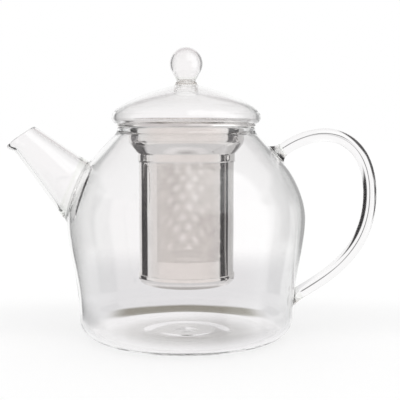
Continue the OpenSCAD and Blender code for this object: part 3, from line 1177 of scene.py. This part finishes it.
# ---- stage ----
# Dark cards: azimuth from and to (from +Y towards +X), elevation from and to, how dark.
# First those that the outside of the glass bends into view
BENT = [(28, 92, -25, 3, 1.0), (-76, -14, -62, -8, 1.0), (-76, -19, -9, -3, 1.0),
        (-76, -27, -4, 3, 1.0), (-30, -6, -62, -16, 1.0)]
# The slit between two cards that a solid rod shows as a line down its middle
SLIT = [(9.1, 13.4, -10.0, -1.0, 0.8), (5.0, 10.5, -13.0, -7.4, 0.75)]
# What the glass's outside mirrors
MIRRORED = [(19, 80, -13, 28, 0.6), (-84, -30, -16, 28, 0.75), (-50, -8, -62, -27, 1.0)]
# What the steel mirrors, seen through the glass
INSIDE = [(58, 92, -22, 28, 1.0), (-72, -41, -62, 28, 1.0), (2, 58, -62, 28, 0.4),
          (-8, 42, -25, -12, 0.9), (-92, -70, -27, -14, 0.9), (-52, -14, -62, -12, 1.0)]
# What rays see that go on through both walls
THROUGH = [(32, 100, -62, 20, 0.7), (-100, -32, -62, 20, 0.7)]
# Tall panels of light; elsewhere in front, outer faces mirror a dimmer room
PANEL = [(94, 136, -24, 62, 1.0), (120, 178, 20, 75, 1.0)]
# How soft their edges are, in degrees
CARD_SOFT = 3.0
SLIT_SOFT = 1.2
PANEL_SOFT = 6.0
LOST_FROM = 3.4
LOST_AT = 5.6
WHITE = (1, 1, 1, 1)
FLAG_COLOUR = (0.010, 0.010, 0.011, 1)
ROOM = (0.97, 0.925, 0.905, 1)
DIM_ROOM = (0.72, 0.68, 0.69, 1)
PANEL_LIGHT = (1.8, 1.8, 1.8, 1)
SOFT_LIGHT = (0.95, 0.95, 0.95, 1)
# Painted shade on the floor under the foot, seen through the glass, going over to near white at
# the foot's edge, and a painted shadow arc behind the foot
PAINTED_SHADE_UNDER_FOOT = (0.52, 0.51, 0.50, 1)
FOOT_EDGE = (0.95, 0.94, 0.95, 1)
FOOT_SHADOW = (0.24, 0.225, 0.18, 1)
FLOOR_BEHIND = (0.80, 0.80, 0.81, 1)
# The floor, in metres
FLOOR_R = 6.0
FLOOR_DROP = 0.0004
FLOOR_SHADE = 0.22
FLOOR_LIT = 1.01 - 0.95 * FLOOR_SHADE
FLOOR_BOUNCE = 0.3
# How far from the axis each tone seen through the glass begins and is full
EDGE_TONE = (0.029, 0.051)
BEHIND_TONE = (0.055, 0.075)
# The shadow arc: its inner and outer edge, its front, and its two tapered ends
ARC_IN = (0.057, 0.060)
ARC_OUT = (0.084, 0.094)
ARC_FRONT = (0.034, 0.054)
ARC_ENDS = (0.040, 0.060)
# Where the floor ends for a ray that is only bent, for a mirrored one, and for one that has
# gone through a single wall
END_BENT = (0.22, 0.40)
END_MIRRORED = (0.13, 0.17)
END_NEAR = (0.09, 0.12)
# The faint wide shade beside the pot: its middle, its half sizes and its tone
SHADE_Y = 0.05
SHADE_W = 0.30
SHADE_D = 0.085
SHADE_TONE = 0.93


def build_world():
    """White to the camera; what is refracted or reflected sees a studio with dark cards."""
    world = bpy.data.worlds.new("studio")
    scene.world = world
    n = Nodes(world)
    path = n.add("ShaderNodeLightPath").outputs
    x, y, z = n.parts(n.add("ShaderNodeTexCoord").outputs["Generated"])
    azimuth = n.times(n.math("ARCTAN2", x, y), 180 / pi)
    height = n.times(n.math("ARCSINE", z), 180 / pi)

    def cards(places, soft=CARD_SOFT):
        """How dark the darkest card is in this direction."""
        dark = 0.0
        for left, right, low, high, depth in places:
            card = n.times(n.within(azimuth, left, right, soft), n.within(height, low, high, soft),
                           depth)
            dark = n.most(dark, card)
        return dark

    mirrored = n.past(path["Glossy Depth"], 0.5)
    deep = n.past(path["Transmission Depth"], 2.5)
    outer = n.blend(mirrored, n.most(cards(BENT), cards(SLIT, SLIT_SOFT)), cards(MIRRORED))
    inner = n.blend(mirrored, cards(THROUGH), cards(INSIDE))
    light = n.mix(n.fit(y, -0.6, 0.2, 1.0, 0.0), WHITE, ROOM)
    # Outer faces mirror the far wall, the dimmer room in front of it, and the panels
    wall = n.times(n.fit(y, -0.3, 0.1), n.fit(height, 22.0, 32.0, 1.0, 0.0))
    around = n.mix(cards(PANEL, PANEL_SOFT), n.mix(wall, DIM_ROOM, light), PANEL_LIGHT)
    face = n.times(mirrored, n.math("SUBTRACT", 1.0, deep))
    light = n.mix(face, light, around)
    # A ray handed on inside the glass many times has lost its way: it sees plain light
    direct = n.fit(path["Glossy Depth"], LOST_FROM, LOST_AT, 1.0, 0.0, "LINEAR")
    seen = n.mix(n.times(direct, n.blend(deep, outer, inner)), light, FLAG_COLOUR)
    seen = n.mix(path["Is Diffuse Ray"], seen, SOFT_LIGHT)
    seen = n.mix(path["Is Camera Ray"], seen, WHITE)
    sky = n.add("ShaderNodeBackground", Color=seen)
    n.add("ShaderNodeOutputWorld", Surface=sky.outputs[0])


def floor_disc():
    """A wide round floor just below the foot."""
    mesh = bpy.data.meshes.new("floor")
    bm = bmesh.new()
    bmesh.ops.create_circle(bm, cap_ends=True, segments=128, radius=FLOOR_R)
    bmesh.ops.translate(bm, verts=bm.verts, vec=(0, 0, -FLOOR_DROP))
    bm.to_mesh(mesh)
    bm.free()
    return new_object("floor", mesh)


def build_floor():
    """A pale floor; bent and mirrored rays see only the part of it near the pot."""
    floor = floor_disc()
    material = bpy.data.materials.new("pale_floor")
    n = Nodes(material)
    path = n.add("ShaderNodeLightPath").outputs
    x, y, _ = n.parts(n.place())
    away = n.distance(x, y)
    through = n.past(path["Transmission Depth"], 0.5)
    mirrored = n.past(path["Glossy Depth"], 0.5)
    shallow = n.math("SUBTRACT", 1.0, n.past(path["Transmission Depth"], 2.5))

    # Seen directly: almost white, with the faint shade beside the pot
    matt = n.add("ShaderNodeBsdfDiffuse", Color=(FLOOR_SHADE, FLOOR_SHADE, FLOOR_SHADE, 1))
    strength = n.fit(path["Is Diffuse Ray"], 0.0, 1.0, FLOOR_LIT, FLOOR_BOUNCE, "LINEAR")
    across = n.math("DIVIDE", x, SHADE_W)
    along = n.math("DIVIDE", n.math("SUBTRACT", y, SHADE_Y), SHADE_D)
    shade = n.fit(n.distance(across, along), 0.3, 1.0, SHADE_TONE, 1.0)
    glow = n.add("ShaderNodeEmission", Strength=n.times(strength, shade))
    direct = n.add("ShaderNodeAddShader", matt.outputs[0], glow.outputs[0])

    # Seen through the glass: painted shade under the foot, the painted shadow arc behind it, and a
    # greyer floor farther out
    behind = n.times(n.fit(y, *ARC_FRONT), n.math("SUBTRACT", 1.0, mirrored))
    middle = n.fit(n.math("ABSOLUTE", x), *ARC_ENDS, 1.0, 0.0)
    ring = n.times(n.fit(away, *ARC_IN), n.fit(away, *ARC_OUT, 1.0, 0.0))
    # Painted shade under the foot, lighter towards the foot's edge
    under = n.mix(n.fit(away, *EDGE_TONE), PAINTED_SHADE_UNDER_FOOT, FOOT_EDGE)
    ground = n.mix(n.fit(away, *BEHIND_TONE), under, FLOOR_BEHIND)
    tone = n.mix(n.times(behind, middle, ring), ground, FOOT_SHADOW)
    bent = n.add("ShaderNodeEmission", Color=tone)
    seen = n.add("ShaderNodeMixShader", through, direct.outputs[0], bent.outputs[0])

    # Bent and mirrored rays pass through the floor beyond its reach
    reach = n.most(n.fit(away, *END_BENT), n.times(mirrored, n.fit(away, *END_MIRRORED)),
                   n.times(shallow, n.fit(away, *END_NEAR)))
    clear = n.add("ShaderNodeBsdfTransparent")
    top = n.add("ShaderNodeMixShader", n.times(reach, n.most(through, mirrored)),
                seen.outputs[0], clear.outputs[0])
    n.add("ShaderNodeOutputMaterial", Surface=top.outputs[0])
    floor.data.materials.append(material)


# The camera: metres from the axis and above the floor, degrees down, and pixels of the frame
CAMERA_AWAY = 0.550
CAMERA_Z = 0.1296
PITCH_DOWN = 4.85
FRAME_W = 400
AXIS_PX = 186.3
FOCAL_PX = 911
SENSOR_W = 36


def build_camera():
    data = bpy.data.cameras.new("camera")
    data.sensor_width = SENSOR_W
    data.lens = SENSOR_W * FOCAL_PX / FRAME_W
    camera = new_object("camera", data)
    camera.location = (0, -CAMERA_AWAY, CAMERA_Z)
    yaw = atan2(FRAME_W / 2 - AXIS_PX, FOCAL_PX)
    down = radians(PITCH_DOWN)
    look = Vector((sin(yaw) * cos(down), cos(yaw) * cos(down), -sin(down)))
    camera.rotation_euler = look.to_track_quat("-Z", "Y").to_euler()
    scene.camera = camera


# The edge colours are painted shade: faint on the thin glass, green grey on the thick glass where
# it is partly the glass's own tint, and near black on the rim glass of the lid's rim and the
# knob's ball
thin_glass = glass_material("clear_borosilicate_glass", (0.978, 0.972, 0.974),
                            (0.90, 0.91, 0.90))
rim_glass = glass_material("clear_borosilicate_glass_rim", (0.975, 0.968, 0.968),
                           (0.22, 0.21, 0.21), 3.0)
thick_glass = glass_material("clear_borosilicate_glass_thick", (0.95, 0.955, 0.935),
                             (0.74, 0.77, 0.71))
polished = steel_material("polished_steel", (0.83, 0.815, 0.80, 1), (0.77, 0.755, 0.74, 1),
                          (0.02, 0.05), 0.15)
satin = steel_material("satin_steel", (0.80, 0.785, 0.77, 1), (0.73, 0.715, 0.70, 1),
                       (0.03, 0.06), 0.12)
build_pot(thin_glass, thick_glass)
build_lid(thin_glass, thick_glass, rim_glass)
build_collar(polished)
build_pan(polished)
perforated_window("strainer_window_front", WINDOW_FROM, satin)
perforated_window("strainer_window_back", WINDOW_FROM + 180, satin)
build_sheet(satin)
build_welds(polished)
build_world()
build_floor()
build_camera()
scene.view_settings.view_transform = "Standard"
# Light bounces many times inside thick glass
bounces = scene.cycles
bounces.max_bounces = 80
bounces.glossy_bounces = 48
bounces.transmission_bounces = 48
